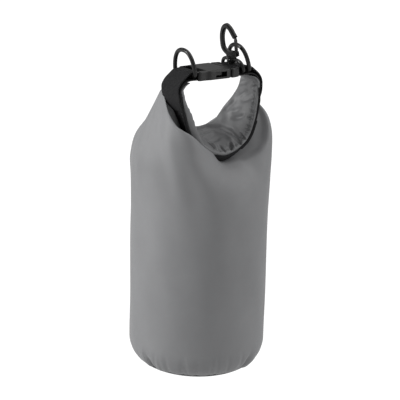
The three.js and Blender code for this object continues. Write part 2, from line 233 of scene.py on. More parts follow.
def crease(x, y, ax, ay, bx, by, width, taper=0.25):
    """How strongly points lie on the line a-b: 1 on it, falling off over width, faded at its ends."""
    dx, dy = bx - ax, by - ay
    length = math.hypot(dx, dy)
    s = ((x - ax) * dx + (y - ay) * dy) / length**2
    away = np.abs((x - ax) * dy - (y - ay) * dx) / length
    ends = smoothstep(s, -taper, taper) * (1 - smoothstep(s, 1 - taper, 1 + taper))
    return bell(away, width) * ends


# ---------------------------------------------------------------- materials
def new_material(name):
    material = bpy.data.materials.new(name)
    material.use_nodes = True
    nodes = material.node_tree.nodes
    shader = nodes.get("Principled BSDF")
    return material, nodes, material.node_tree.links, shader


def ramp(nodes, links, source, stops):
    node = nodes.new("ShaderNodeValToRGB")
    for i, (place, colour) in enumerate(stops):
        element = node.color_ramp.elements[i] if i < 2 else node.color_ramp.elements.new(place)
        element.position = place
        element.color = (*colour, 1)
    links.new(source, node.inputs["Fac"])
    return node


def noise(nodes, links, scale, detail, roughness=0.5):
    """Fractal noise in object space; scale is cells per metre."""
    coords = nodes.new("ShaderNodeTexCoord")
    node = nodes.new("ShaderNodeTexNoise")
    for key, value in (("Scale", scale), ("Detail", detail), ("Roughness", roughness)):
        node.inputs[key].default_value = value
    links.new(coords.outputs["Object"], node.inputs["Vector"])
    return node.outputs["Fac"]


def cloth_axes(nodes, links):
    """The two cloth directions, in metres along and across the weave."""
    uv = nodes.new("ShaderNodeUVMap")
    uv.uv_map = "cloth"
    split = nodes.new("ShaderNodeSeparateXYZ")
    links.new(uv.outputs["UV"], split.inputs[0])
    return split.outputs["X"], split.outputs["Y"]


def math_node(nodes, links, operation, a, b=None):
    node = nodes.new("ShaderNodeMath")
    node.operation = operation
    for socket, value in zip(node.inputs, (a, b)):
        if value is None:
            continue
        if isinstance(value, (int, float)):
            socket.default_value = value
        else:
            links.new(value, socket)
    return node.outputs[0]


def multiply_add(nodes, links, value, factor, offset):
    result = math_node(nodes, links, "MULTIPLY_ADD", value, factor)
    result.node.inputs[2].default_value = offset
    return result


def phase(nodes, links, value, pitch):
    """A length in metres as an angle that turns once for each pitch."""
    return math_node(nodes, links, "MULTIPLY", value, 2 * math.pi / pitch)


def varied_roughness(nodes, links, shader, source, spread, middle):
    """Roughness that moves by half the spread either side of the middle."""
    rough = multiply_add(nodes, links, source, spread, middle - spread / 2)
    links.new(rough, shader.inputs["Roughness"])


def tinted(nodes, links, shader, source, stops):
    """Base colour from a ramp over the source value."""
    colour = ramp(nodes, links, source, stops)
    links.new(colour.outputs["Color"], shader.inputs["Base Color"])


def bump(nodes, links, height, strength, distance, chained=None):
    node = nodes.new("ShaderNodeBump")
    node.inputs["Strength"].default_value = strength
    node.inputs["Distance"].default_value = distance
    links.new(height, node.inputs["Height"])
    if chained is not None:
        links.new(chained, node.inputs["Normal"])
    return node.outputs["Normal"]


def fabric_material(name, grey, roughness=0.62, weave=0.12):
    """Coated polyester: a fine plain weave under a matt coating, with slow variation of tone."""
    material, nodes, links, shader = new_material(name)
    cloudy = noise(nodes, links, 26, 4.0, 0.6)
    tinted(nodes, links, shader, cloudy,
           [(0.25, tuple(g * 0.93 for g in grey)), (0.75, tuple(g * 1.06 for g in grey))])
    along, across = cloth_axes(nodes, links)
    warp = math_node(nodes, links, "SINE", phase(nodes, links, along, THREAD_PITCH))
    weft = math_node(nodes, links, "SINE", phase(nodes, links, across, THREAD_PITCH))
    threads = math_node(nodes, links, "MULTIPLY", warp, weft)
    fine = noise(nodes, links, 420, 3.0, 0.6)
    varied_roughness(nodes, links, shader, fine, 0.14, roughness)
    first = bump(nodes, links, threads, weave, 0.00012)
    second = bump(nodes, links, fine, 0.1, 0.0004, first)
    links.new(second, shader.inputs["Normal"])
    shader.inputs["Specular IOR Level"].default_value = 0.35
    return material


def webbing_material(name):
    """Polyester webbing: chevron ribs across the strap, dark, with a painted highlight on the thread crowns
    and painted shade between them.
    """
    material, nodes, links, shader = new_material(name)
    along, across = cloth_axes(nodes, links)
    column = math_node(nodes, links, "SINE", phase(nodes, links, across, WEBBING_COLUMN))
    lean = math_node(nodes, links, "MULTIPLY", column, 1.3)
    place = math_node(nodes, links, "ADD", phase(nodes, links, along, WEBBING_RIB), lean)
    ribs = math_node(nodes, links, "SINE", place)
    crowns = math_node(nodes, links, "MULTIPLY", ribs, math_node(nodes, links, "ABSOLUTE", column))
    # Base colour lighter on the thread crowns and darker between them: painted highlight and painted shade
    # of the weave; the fuzz adds random yarn tone.
    tone = multiply_add(nodes, links, crowns, 0.5, 0.5)
    fuzz = noise(nodes, links, 900, 3.0)
    weave_shade_and_fuzz = math_node(nodes, links, "MULTIPLY", tone, math_node(nodes, links, "ADD", fuzz, 0.45))
    tinted(nodes, links, shader, weave_shade_and_fuzz, [(0.15, (0.0025, 0.0025, 0.0026)), (0.85, (0.024, 0.024, 0.025))])
    shader.inputs["Roughness"].default_value = 0.75
    shader.inputs["Specular IOR Level"].default_value = 0.08
    first = bump(nodes, links, crowns, 0.7, 0.0004)
    second = bump(nodes, links, fuzz, 0.25, 0.0003, first)
    links.new(second, shader.inputs["Normal"])
    return material


def plastic_material(name, tone, roughness):
    """Moulded acetal: near black, satin, with a faint moulding grain and rubbed patches."""
    material, nodes, links, shader = new_material(name)
    worn = noise(nodes, links, 140, 5.0, 0.65)
    tinted(nodes, links, shader, worn, [(0.3, (tone * 0.8,) * 3), (0.75, (tone * 1.5,) * 3)])
    varied_roughness(nodes, links, shader, worn, 0.16, roughness)
    grain = noise(nodes, links, 1500, 2.0)
    links.new(bump(nodes, links, grain, 0.12, 0.0002), shader.inputs["Normal"])
    shader.inputs["Specular IOR Level"].default_value = 0.24
    return material


def thread_material(name, tone):
    """Twisted sewing thread."""
    material, nodes, links, shader = new_material(name)
    twist = noise(nodes, links, 1600, 2.0)
    tinted(nodes, links, shader, twist, [(0.3, (tone * 0.7,) * 3), (0.7, (tone * 1.3,) * 3)])
    links.new(bump(nodes, links, twist, 0.3, 0.0002), shader.inputs["Normal"])
    shader.inputs["Roughness"].default_value = 0.7
    return material


GREY = (0.123, 0.1242, 0.1272)
shell_cloth = fabric_material("coated_fabric", GREY)
# The folded mouth's cloth is the shell's grey times 0.74: painted shade, a darker copy of the same fabric.
flap_cloth = fabric_material("coated_fabric_inside_shaded", tuple(g * 0.74 for g in GREY), 0.54, 0.08)
tape_cloth = fabric_material("seam_tape_film", tuple(g * 0.9 for g in GREY), 0.4, 0.05)
strap_cloth = webbing_material("webbing_weave")
hardware = plastic_material("acetal_hardware", 0.004, 0.30)
buckle = plastic_material("acetal_buckle", 0.003, 0.36)
thread = thread_material("bonded_thread", 0.012)
grey_thread = thread_material("bonded_thread_grey", 0.10)

# ---------------------------------------------------------------- body shell
# Stations round the bag: azimuth, place along the mouth, inner end (mm inside the hem edge),
# radius and height on the way up, and the crest where the cloth turns inwards.
STATIONS = [
    (-97, -0.04, 15, (61.8, 170), (57, 184), (46, 194.5), (-5, -33.5, 200)),
    (-74, 0.14, 15, (61.8, 170), (58.5, 182), (50.5, 192), (13, -38, 198)),
    (-61, 0.26, 15, (62, 170), (60, 182), (54, 192), (22, -40, 198.5)),
    (-53, 0.37, 15, (62.3, 172), (61.5, 186), (57.5, 196), (31, -41, 202)),
    (-46, 0.45, 15, (62.5, 176), (62.3, 191), (60, 200.5), (38, -40.5, 206.5)),
    (-40, 0.52, 15, (62.6, 180), (63, 196), (62.2, 206), (44.5, -38.5, 213)),
    (-33, 0.60, 15, (62.6, 182), (63.5, 202), (63.5, 217), (50, -33, 225)),
    (-25, 0.68, 15, (62.6, 184), (63.5, 206), (62.5, 225), (52, -25, 235.5)),
    (-16, 0.76, 15, (62.6, 184), (63, 208), (60, 231), (49.5, -15.5, 245)),
    (-4, 0.84, 18, (62.5, 184), (61.5, 210), (55.5, 235), (47.2, -5, 253)),
    (14, 0.84, 28, (62.5, 182), (61, 205), (53.5, 229), (44, 2.5, 251)),
    (35, 0.76, 34, (62.6, 180), (61.6, 199), (52, 217), (36.5, 6, 240)),
    (55, 0.60, 37, (62.6, 178), (60.8, 194), (46, 210), (27, 8, 229.5)),
    (72, 0.32, 38, (62.5, 176), (59.2, 190), (41, 203), (16, 9, 217.5)),
    (90, 0.0, 38, (62.5, 175), (58.4, 188), (38, 199), (0, 9.5, 212.5)),
    (108, -0.32, 38, (62.7, 176), (59.4, 190), (41, 203), (-16, 9, 217.5)),
    (125, -0.60, 37, (63.5, 177), (63, 198), (50.5, 216), (-27, 8, 233)),
    (145, -0.76, 34, (64.3, 178), (64.8, 199), (57.5, 221), (-38, 6, 243)),
    (166, -0.92, 27, (63.5, 182), (63.6, 206), (55.6, 231), (-45.4, 1.5, 259.5)),
    (-168 + 360, -0.86, 18, (62.8, 184), (62.7, 207), (56.2, 232), (-47.6, -7.5, 256.5)),
    (-158.6 + 360, -0.70, 15, (62.6, 184), (63, 205), (60.8, 227), (-51, -19.5, 245.5)),
    (-148.8 + 360, -0.56, 15, (62.6, 184), (63.4, 204), (62.3, 221), (-50.5, -30, 237)),
    (-141 + 360, -0.47, 15, (62.6, 182), (63.2, 200), (62, 216), (-47, -36, 233)),
    (-134.7 + 360, -0.39, 15, (62.5, 180), (62.5, 197), (60.5, 211.5), (-40.5, -39.5, 228.5)),
    (-125.5 + 360, -0.29, 15, (62.3, 178), (61, 193), (56.5, 205.5), (-29, -40, 219)),
    (-112.6 + 360, -0.16, 15, (62, 173), (58.5, 188), (51, 199), (-15, -36.5, 210)),
]
SHOULDER_START = 150
# Azimuth of each pinch at the base, and the side that it leans to.
BASE_PINCHES = [(-172, -1), (-76, 1)]
# The lines of one pinch: depth, then azimuth off its middle and height of both ends, and width.
PINCH_LINES = [(-3.6, 0, -6, 2, 17, 2.8), (1.2, 9, -4, 11, 22, 6), (0.7, -9, -4, -11, 22, 6),
               (-0.7, -5, 6, -9, 24, 1.6)]
SEAM_AZIMUTH = 26
SEAM_LAP = 12
AROUND = 320
LOWER_ROWS = 52
# Folds of slack cloth: azimuth and height of one end, of the other, width, depth in mm.
SHOULDER_FOLDS = [
    (-168, 246, -150, 168, 8.0, -1.0), (-157, 243, -141, 175, 7.5, 0.8),
    (-150, 225, -128, 160, 7.0, -0.5), (-137, 222, -118, 165, 8.0, 0.4),
    (-30, 226, -52, 178, 8.0, -0.4), (-20, 238, -30, 170, 6.5, 1.2),
    (-60, 192, -92, 168, 5.0, -0.6), (-5, 246, -8, 176, 7.0, -1.2),
    (160, 240, 148, 172, 7.0, -1.4), (20, 240, 30, 172, 7.0, -1.4),
    (130, 226, 120, 165, 7.0, 1.2), (50, 226, 60, 165, 7.0, 1.2),
    (104, 216, 98, 160, 6.0, -1.1), (76, 216, 84, 160, 6.0, -1.0),
    (175, 250, 172, 180, 5.0, 0.9),
]


def polar(angle, radius, z):
    """Points round the bag's axis, from degrees and mm."""
    a = np.radians(angle)
    return np.stack([radius * np.cos(a), radius * np.sin(a), z + 0 * radius], axis=-1)


def faces_front(angle):
    return not 0 < angle < 180


def station_columns():
    """For each station, the points of its column from the shoulder's start to the hidden inner end."""
    columns = []
    for angle, t, inside, low, mid, high, crest in STATIONS:
        thick = float(packet_thickness(t))
        under_band = inside < 20
        below = thick + WEBBING + 0.9 if under_band else thick + 0.6
        end = on_packet(np.array([t]), np.array([inside]), np.array([below]))[0]
        crest = np.array(crest, float)
        tuck = 0.8 + 3.2 * float(smoothstep(abs(t), 0.12, 0.5)) if faces_front(angle) else 2.0
        near = crest + 0.35 * (end - crest) - np.array([0, 0, tuck])
        columns.append([
            polar(angle, BODY_RADIUS, SHOULDER_START),
            polar(angle, *low), polar(angle, *mid), polar(angle, *high),
            crest, near, end,
        ])
    return np.array(columns)


def periodic(angles, values, at):
    """Smooth interpolation round the circle."""
    keys = np.concatenate([angles[-3:] - 360, angles, angles[:3] + 360])
    rows = np.concatenate([values[-3:], values, values[:3]])
    return hermite(keys, rows, at)


def shell_grid():
    """Rows of points from the base seam up over the crest to the hidden end, and their azimuths."""
    angles = np.array([s[0] for s in STATIONS], float)
    columns = station_columns()
    at = np.linspace(-97, 263, AROUND, endpoint=False)
    levels = np.stack([periodic(angles, columns[:, k], at) for k in range(columns.shape[1])])
    bottom = []
    seam_angle = math.acos((EDGE_RADIUS - BASE_SEAM_Z) / EDGE_RADIUS)
    for a in np.linspace(seam_angle, math.pi / 2, 9):
        r = FLOOR_RADIUS + EDGE_RADIUS * math.sin(a)
        bottom.append(polar(at, np.full(AROUND, r), EDGE_RADIUS * (1 - math.cos(a))))
    for z in np.linspace(EDGE_RADIUS, SHOULDER_START, LOWER_ROWS)[1:-1]:
        bottom.append(polar(at, np.full(AROUND, BODY_RADIUS), z))
    # Rows above the shoulder's start, with the crest kept tight. One level below it keeps the wall upright.
    start = polar(at, np.full(AROUND, BODY_RADIUS), SHOULDER_START - 20)
    stack = np.concatenate([start[None], levels])
    keys = np.array([-1.0, 0, 1, 2, 3, 4, 4.7, 6.0])
    fine = np.concatenate([np.linspace(0, 3, 34), np.linspace(3, 5, 26)[1:], np.linspace(5, 6, 7)[1:]])
    upper = hermite(keys, stack.reshape(len(keys), -1), fine).reshape(len(fine), AROUND, 3)
    grid = np.concatenate([np.array(bottom), upper])
    return grid, at


def normals_of(grid):
    du = np.roll(grid, -1, axis=1) - np.roll(grid, 1, axis=1)
    dv = np.gradient(grid, axis=0)
    return unit(np.cross(du, dv))


def soft_folds(grid, at):
    """Shallow folds of slack cloth, as an offset along the normal in mm."""
    angle = np.broadcast_to(at, grid.shape[:2])
    z = grid[..., 2]
    x = np.where(angle > 180, angle - 360, angle)
    amount = np.zeros(grid.shape[:2])
    for a0, z0, a1, z1, width, depth in SHOULDER_FOLDS:
        amount += depth * crease(x, z, a0, z0, a1, z1, width, 0.35)
    slow = (0.35 * np.sin(np.radians(angle) * 3 + z * 0.021) * np.sin(z * 0.03 + 1.2)
            + 0.22 * np.sin(np.radians(angle) * 7 - z * 0.034 + 0.8)
            + 0.12 * np.sin(np.radians(angle) * 13 + z * 0.055))
    amount += slow * smoothstep(z, 20, 60)
    # short puckers where the wall is gathered into the base seam
    pucker = np.zeros_like(amount)
    rng = np.random.default_rng(7)
    for centre in np.arange(-180, 180, 9.5):
        a = centre + rng.uniform(-2.5, 2.5)
        lean = rng.uniform(-3, 3)
        depth = rng.uniform(0.25, 0.7)
        pucker -= depth * crease(x, z, a, 0, a + lean, 22, rng.uniform(1.3, 2.2), 0.4)
    amount += pucker
    for a, side in BASE_PINCHES:
        for depth, off0, z0, off1, z1, width in PINCH_LINES:
            amount += depth * crease(x, z, a + side * off0, z0, a + side * off1, z1, width, 0.4)
    seam_end = SEAM_AZIMUTH + SEAM_LAP
    lap = smoothstep(x, SEAM_AZIMUTH - 0.4, SEAM_AZIMUTH) * (1 - smoothstep(x, seam_end - 1, seam_end + 1))
    amount += 0.5 * lap * (1 - smoothstep(z, 222, 240))
    amount -= 0.6 * bell(z - BASE_SEAM_Z, 1.2)
    return amount


def build_shell():
    grid, at = shell_grid()
    normal = normals_of(grid)
    grid = grid + normal * soft_folds(grid, at)[..., None]
    rows = grid.shape[0]
    u = np.radians(at) * BODY_RADIUS * MM
    step = np.linalg.norm(np.diff(grid, axis=0), axis=-1).mean(axis=1)
    v = np.concatenate([[0], np.cumsum(step)]) * MM
    uv = np.stack(np.broadcast_arrays(u, v[:, None]), axis=-1)
    obj = mesh_object("dry_bag_shell", grid.reshape(-1, 3),
                      grid_faces(rows, AROUND, close_columns=True), uv.reshape(-1, 2))
    solid = obj.modifiers.new("thickness", "SOLIDIFY")
    solid.thickness = SHELL_THICKNESS * MM
    solid.offset = -1
    apply_modifiers(obj)
    obj.data.materials.append(shell_cloth)
    return obj


shell = build_shell()
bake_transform(shell)
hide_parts("body_wall")

# ---------------------------------------------------------------- folded mouth
MOUTH_STEPS = 361
EDGE_ROUND = 1.2
# Where the packet's ends run on inside the straps' turn: mm inwards and up from the last section.
TIP_STEPS = [(1.2, 1.6), (2.6, 3.2), (4.6, 4.6), (7.0, 5.6)]
# Creases of the upper face: t and share of the way from fold to hem at both ends, width, depth in mm.
MOUTH_CREASES = [
    (-0.30, 0.20, -0.10, 0.14, 0.06, -1.6), (-0.10, 0.14, 0.10, 0.12, 0.06, -2.2),
    (0.10, 0.12, 0.24, 0.30, 0.06, -2.6), (0.24, 0.30, 0.30, 0.58, 0.055, -2.6),
    (0.30, 0.58, 0.29, 0.92, 0.045, -1.9), (-0.12, 0.42, 0.10, 0.35, 0.06, 2.0),
    (0.10, 0.35, 0.21, 0.50, 0.06, 2.0), (0.21, 0.50, 0.23, 0.76, 0.05, 1.5),
    (-0.08, 0.58, 0.10, 0.55, 0.045, -1.3), (-0.13, 0.62, -0.14, 0.88, 0.022, -1.9),
    (-0.08, 0.66, -0.10, 0.90, 0.025, 1.1), (0.02, 0.74, 0.01, 0.94, 0.022, -1.5),
    (0.16, 0.80, 0.11, 0.96, 0.024, -2.0), (0.20, 0.80, 0.17, 0.97, 0.022, 1.1),
    (0.28, 0.82, 0.26, 0.98, 0.022, -1.7), (0.37, 0.78, 0.36, 0.97, 0.022, -1.3),
    (0.44, 0.12, 0.68, 0.22, 0.06, -1.8), (0.46, 0.42, 0.58, 0.66, 0.045, -1.8),
    (0.50, 0.28, 0.62, 0.50, 0.055, 1.3), (0.92, 0.00, 0.97, 0.42, 0.05, -2.0),
    (0.95, 0.70, 0.98, 0.98, 0.03, -1.2), (0.60, 0.84, 0.65, 0.99, 0.025, -1.4),
    (0.46, 0.84, 0.48, 0.98, 0.022, -1.4), (0.74, 0.50, 0.84, 0.90, 0.04, -1.1),
    (0.76, 0.28, 0.86, 0.50, 0.05, 0.9), (-0.50, 0.60, -0.40, 0.95, 0.03, -1.0),
    (-0.72, 0.30, -0.62, 0.75, 0.04, -1.2), (-0.88, 0.20, -0.80, 0.80, 0.04, -1.1),
]


def mouth_section(t):
    """Closed section of the rolled mouth at t: place across from fold to hem, and height, in mm."""
    thick = float(packet_thickness(t))
    length = float(np.linalg.norm(hem(np.array([t]))[0] - fold(np.array([t]))[0]))
    hem_thick = float(hem_thickness(t))
    fold_r = thick / 2
    points = []
    for a in np.linspace(-math.pi / 2, math.pi / 2, 13)[:-1]:  # rolled edge, from below to above
        points.append((fold_r - fold_r * math.cos(a), -fold_r + fold_r * math.sin(a)))
    for s in np.linspace(0, 1, 61):
        points.append((fold_r + (length - fold_r - EDGE_ROUND) * s, 0.0))
    points.append((length - 0.35, -0.35))
    points.append((length, -EDGE_ROUND))
    points.append((length, -hem_thick + 0.6))
    points.append((length - 0.6, -hem_thick))
    for s in np.linspace(0, 1, 22)[1:-1]:
        x = (length - 0.6) + (fold_r - length + 0.6) * s
        h = -hem_thick + (hem_thick - thick) * smoothstep(s, 0, 0.5)
        points.append((x, float(h)))
    return np.array(points), length


def build_mouth():
    """The rolled mouth as one closed packet, creased on its upper face and puckered along its hem."""
    ts = np.linspace(-1, 1, MOUTH_STEPS)
    sections = [mouth_section(t) for t in ts]
    local = np.array([s[0] for s in sections])
    length = np.array([s[1] for s in sections])
    share = local[..., 0] / length[:, None]
    tt = np.broadcast_to(ts[:, None], share.shape)
    upper = smoothstep(local[..., 1], -1.6, -0.2)
    height = np.zeros_like(share)
    stretch = 1.6  # how much longer the mouth is than it is wide, in these two coordinates
    for t0, s0, t1, s1, width, depth in MOUTH_CREASES:
        strength = 1.35 - 0.4 * smoothstep(t0, 0.38, 0.46)
        line = crease(tt * stretch, share, t0 * stretch, s0, t1 * stretch, s1, width, 0.3)
        height += strength * depth * line
    rng = np.random.default_rng(11)
    along = lengths_along(hem(ts))
    at_mm = along[:, None]
    from_hem = length[:, None] * (1 - share)
    place = 3.0
    while place < along[-1]:
        reach = rng.uniform(7, 13)
        lean = rng.uniform(-2.5, 2.5)
        x = at_mm + lean * from_hem / 10
        depth = rng.uniform(0.5, 1.25)
        fade = (1 - smoothstep(from_hem, 5, reach)) * (0.35 + 0.65 * smoothstep(from_hem, 0.5, 4))
        height -= depth * bell(x - place, rng.uniform(0.6, 1.1)) * fade
        height += 0.45 * depth * bell(x - place - 2.4, 1.3) * fade
        place += rng.uniform(4.5, 8.5)
    height -= 0.5 * bell(from_hem - FLAP_STITCH_INSIDE, 0.9)
    height += 0.25 * bell(from_hem - 2.2, 1.6)
    height += 0.30 * np.sin(at_mm * 0.31 + share * 7) * np.sin(share * 9 + 0.4) * (1 - np.abs(tt) ** 6)
    height += 0.9 * bell(share - 0.16, 0.12) * (1 - smoothstep(np.abs(tt), 0.5, 0.95))
    # no crease goes deeper than half the packet
    deepest = 0.5 * packet_thickness(ts)[:, None]
    height = np.where(height < 0, -deepest * np.tanh(-height / deepest), height)
    edge = smoothstep(share, 0.0, 0.06) * (1 - 0.6 * smoothstep(share, 0.97, 1.0))
    local = local.copy()
    local[..., 1] += height * upper * edge
    f, h, out = fold(ts), hem(ts), outward(ts)
    across = unit(h - f)
    points = f[:, None] + across[:, None] * local[..., :1] - out[:, None] * local[..., 1:2]
    columns = local.shape[1]
    u = np.broadcast_to(along[:, None], share.shape) * MM
    v = local[..., 0] * MM
    shifts = np.array([(inward, 0, rise) for inward, rise in TIP_STEPS], float)
    right_end = points[-1] + shifts[:, None] * (-1, 1, 1)
    left_end = (points[0] + shifts[:, None])[::-1]
    points = np.concatenate([left_end, points, right_end])
    extra = np.linalg.norm(shifts, axis=1)[:, None] * MM
    u = np.concatenate([(u[:1] - extra)[::-1], u, u[-1:] + extra])
    more = len(shifts)
    v = np.concatenate([np.repeat(v[:1], more, axis=0), v, np.repeat(v[-1:], more, axis=0)])
    uv = np.stack([u, v], axis=-1).reshape(-1, 2)
    faces = grid_faces(len(points), columns, close_columns=True)
    n = len(points) * columns
    pts = points.reshape(-1, 3)
    first, last = points[0].mean(axis=0), points[-1].mean(axis=0)
    pts = np.vstack([pts, first, last])
    uv = np.vstack([uv, [u[0, 0], 0.02], [u[-1, 0], 0.02]])
    for j in range(columns):
        k = (j + 1) % columns
        faces.append((n, k, j))
        faces.append((n + 1, n - columns + j, n - columns + k))
    obj = mesh_object("folded_mouth", pts, faces, uv)
    fix_normals(obj)
    obj.data.materials.append(flap_cloth)
    return obj


mouth = build_mouth()
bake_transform(mouth)
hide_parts("mouth_roll_centre", "mouth_arm_left", "mouth_arm_right",
            "mouth_tip_left", "mouth_tip_right")


# ---------------------------------------------------------------- webbing
def strap_mesh(name, grid, uv):
    """A strap of the webbing's thickness from a grid of points on one face."""
    points, faces = thicken(grid, WEBBING)
    obj = mesh_object(name, points, faces, np.vstack([uv.reshape(-1, 2)] * 2))
    fix_normals(obj)
    obj.data.materials.append(strap_cloth)
    bevel = obj.modifiers.new("edge", "BEVEL")
    bevel.width = 0.35 * MM
    bevel.segments = 2
    bevel.limit_method = "ANGLE"
    bevel.angle_limit = math.radians(50)
    return obj


def build_band():
    """The webbing sewn along the hem, on the outer face, wrapped over the hem edge right of the middle."""
    ts = np.linspace(-0.94, 0.94, 151)
    rows = []
    uvs = []
    along = lengths_along(hem(ts))
    for t, s in zip(ts, along):
        # near the ends the band lies closer, under the webbing loops
        under_loop = 1.7 * float(smoothstep(abs(t), 0.80, 0.90))
        thick = float(hem_thickness(t)) + 0.3 - under_loop
        full = float(packet_thickness(t)) - under_loop
        wrap = float(smoothstep(t, -0.42, -0.12))
        section = []
        wider = float(smoothstep(-t, 0.2, 0.4) * (1 - smoothstep(-t, 0.78, 0.9)))
        reach = BAND_REACH + 4 * wider
        for inside in np.linspace(reach, 1.2, 14):
            b = thick + (full - thick) * float(smoothstep(inside, 0, 18))
            section.append((inside, b + WEBBING + BAND_GAP))
        lift = wrap * max(thick - 1.9, 0.6)
        corner = thick + WEBBING + BAND_GAP
        section.append((-0.4 * wrap, corner - 0.25 * wrap))
        section.append((0.6 * (1 - wrap) - 1.2 * wrap, corner - 1.2 * wrap))
        section.append((0.3 * (1 - wrap) - 1.5 * wrap, corner - 2.0 * wrap))
        section.append((0.1 * (1 - wrap) - 1.5 * wrap, corner - (WEBBING + lift) * wrap))
        section = np.array(section)
        rows.append(on_packet(np.full(len(section), t), section[:, 0], section[:, 1]))
        v = lengths_along(section)
        uvs.append(np.stack([np.full(len(v), s), v], axis=-1) * MM)
    return strap_mesh("hem_webbing", np.array(rows), np.array(uvs))


band = build_band()
apply_modifiers(band)
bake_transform(band)
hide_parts("webbing_band")


def smooth_path(points, count):
    points = np.array(points, float)
    keys = lengths_along(points)
    return hermite(keys, points, np.linspace(0, keys[-1], count)), keys[-1]


# The loops' path either side of the buckle bar, as distance from the middle and height.
TURN_REACH = 2.9
LOOP_UNDER = 273.8
LOOP_OVER = 280.2
LOOP_START = [(44.7, 254.5), (44.7, 259), (44.3, 264), (42.2, 268.6), (38.2, 272.4), (33, LOOP_UNDER),
              (29, LOOP_UNDER)]
LOOP_END = [(29, LOOP_OVER), (33.5, 279.6), (38.4, 276.2), (43, 272.2), (46, 267), (46.6, 261),
            (46.2, 256), (44.6, 251.5), (42.4, 247.5)]
LOOP_ROWS = 150
LOOP_COLUMNS = 15
LEFT_BAR, RIGHT_BAR = 25.0, 17.3
LEFT_LEAN = -3.6  # the left strap's lower end lies this far towards the front


def loop_path(bar):
    """The strap up from the mouth's end, under the ring bar, round the buckle bar and back."""
    turn = [(bar + TURN_REACH * math.cos(a), STRAP_Z + (LOOP_OVER - STRAP_Z) * math.sin(a))
            for a in np.linspace(-math.pi / 2, -3 * math.pi / 2, 11)]
    return LOOP_START + turn + LOOP_END


def build_loop(name, sign, bar, node):
    path, length = smooth_path(loop_path(bar), LOOP_ROWS)
    tangent = unit(np.gradient(path, axis=0))
    side = np.stack([-tangent[:, 1], tangent[:, 0]], axis=-1)
    path = path + side * WEBBING / 2
    ys = np.linspace(-WEBBING_WIDTH / 2, WEBBING_WIDTH / 2, LOOP_COLUMNS)
    s = np.linspace(0, length, LOOP_ROWS)
    grid = np.zeros((LOOP_ROWS, LOOP_COLUMNS, 3))
    grid[..., 0] = sign * path[:, None, 0]
    lean = (LEFT_LEAN if sign < 0 else 0) * (1 - smoothstep(path[:, 1], 254.5, 270))
    grid[..., 1] = STRAP_Y + ys[None] + lean[:, None]
    grid[..., 2] = path[:, None, 1]
    if sign < 0:
        grid = grid[:, ::-1]
    uv = np.stack(np.broadcast_arrays(s[:, None], ys[None] + WEBBING_WIDTH / 2), axis=-1) * MM
    obj = strap_mesh(name, grid, uv)
    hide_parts(node)
    return obj


# The rings of one stitch: place along it, share of its radius, and lift in mm.
STITCH_RINGS = [(0, 0.35, -0.15), (0.2, 1, 0.1), (0.8, 1, 0.1), (1, 0.35, -0.15)]


def stitch_mesh(name, rows, radius=0.26, share=0.7):
    """Short raised stitches: rows holds arrays of points in mm, one stitch between neighbours."""
    verts, faces = [], []
    for row, normal in rows:
        for a, b, n in zip(row[:-1], row[1:], normal[:-1]):
            d = b - a
            start, along = a + d * (1 - share) / 2, d * share
            forward = unit(along)
            side = unit(np.cross(forward, n))
            base = len(verts)
            for s, r, lift in STITCH_RINGS:
                centre = start + along * s + n * lift
                for q in range(6):
                    w = q * math.pi / 3
                    verts.append(centre + radius * r * (side * math.cos(w) + n * math.sin(w)))
            for k in range(3):
                for q in range(6):
                    p = (q + 1) % 6
                    ring = base + 6 * k
                    faces.append((ring + q, ring + p, ring + 6 + p, ring + 6 + q))
            faces.append(tuple(base + q for q in range(5, -1, -1)))
            faces.append(tuple(base + 18 + q for q in range(6)))
    obj = mesh_object(name, verts, faces)
    fix_normals(obj)
    return obj


def spaced(points, pitch):
    """The same line, resampled at a fixed pitch."""
    keys = lengths_along(points)
    count = max(2, int(keys[-1] / pitch) + 1)
    at = np.linspace(0, keys[-1], count)
    return np.stack([np.interp(at, keys, points[:, k]) for k in range(3)], axis=-1)


def hem_stitches():
    """Two rows on the webbing's outer face and one on the upper face, along the whole hem."""
    ts = np.linspace(-0.86, 0.86, STITCH_SAMPLES)
    keys = np.linspace(0, 1, STITCH_SAMPLES)
    rows = []
    for inside, face in ((3.2, "outer"), (22.6, "outer"), (FLAP_STITCH_INSIDE, "upper")):
        if face == "outer":
            thick = hem_thickness(ts) + 0.3
            b = thick + (packet_thickness(ts) - thick) * smoothstep(inside, 0, 18) + WEBBING + 0.3
            normal = outward(ts)
        else:
            b = np.full(STITCH_SAMPLES, 0.45)
            normal = -outward(ts)
        line = on_packet(ts, np.full(STITCH_SAMPLES, inside), b)
        places = spaced(line, STITCH_PITCH)
        at = np.linspace(0, 1, len(places))
        normals = unit(np.stack([np.interp(at, keys, normal[:, k]) for k in range(3)], axis=-1))
        rows.append((places, normals))
    return rows


stitch_rows = hem_stitches()
dark_stitches = stitch_mesh("hem_stitches_webbing", stitch_rows[:2])
dark_stitches.data.materials.append(thread)
grey_stitches = stitch_mesh("hem_stitches_flap", stitch_rows[2:], radius=0.22)
grey_stitches.data.materials.append(grey_thread)
for piece, slot_name in ((dark_stitches, "webbing"), (grey_stitches, "shell_fabric")):
    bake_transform(piece)

left_loop = build_loop("webbing_loop_left", -1, LEFT_BAR, "webbing_left")
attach(left_loop, "bag")
right_loop = build_loop("webbing_loop_right", 1, RIGHT_BAR, "webbing_right")
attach(right_loop, "right_end")


# ---------------------------------------------------------------- base panel
BASE_AROUND = 200


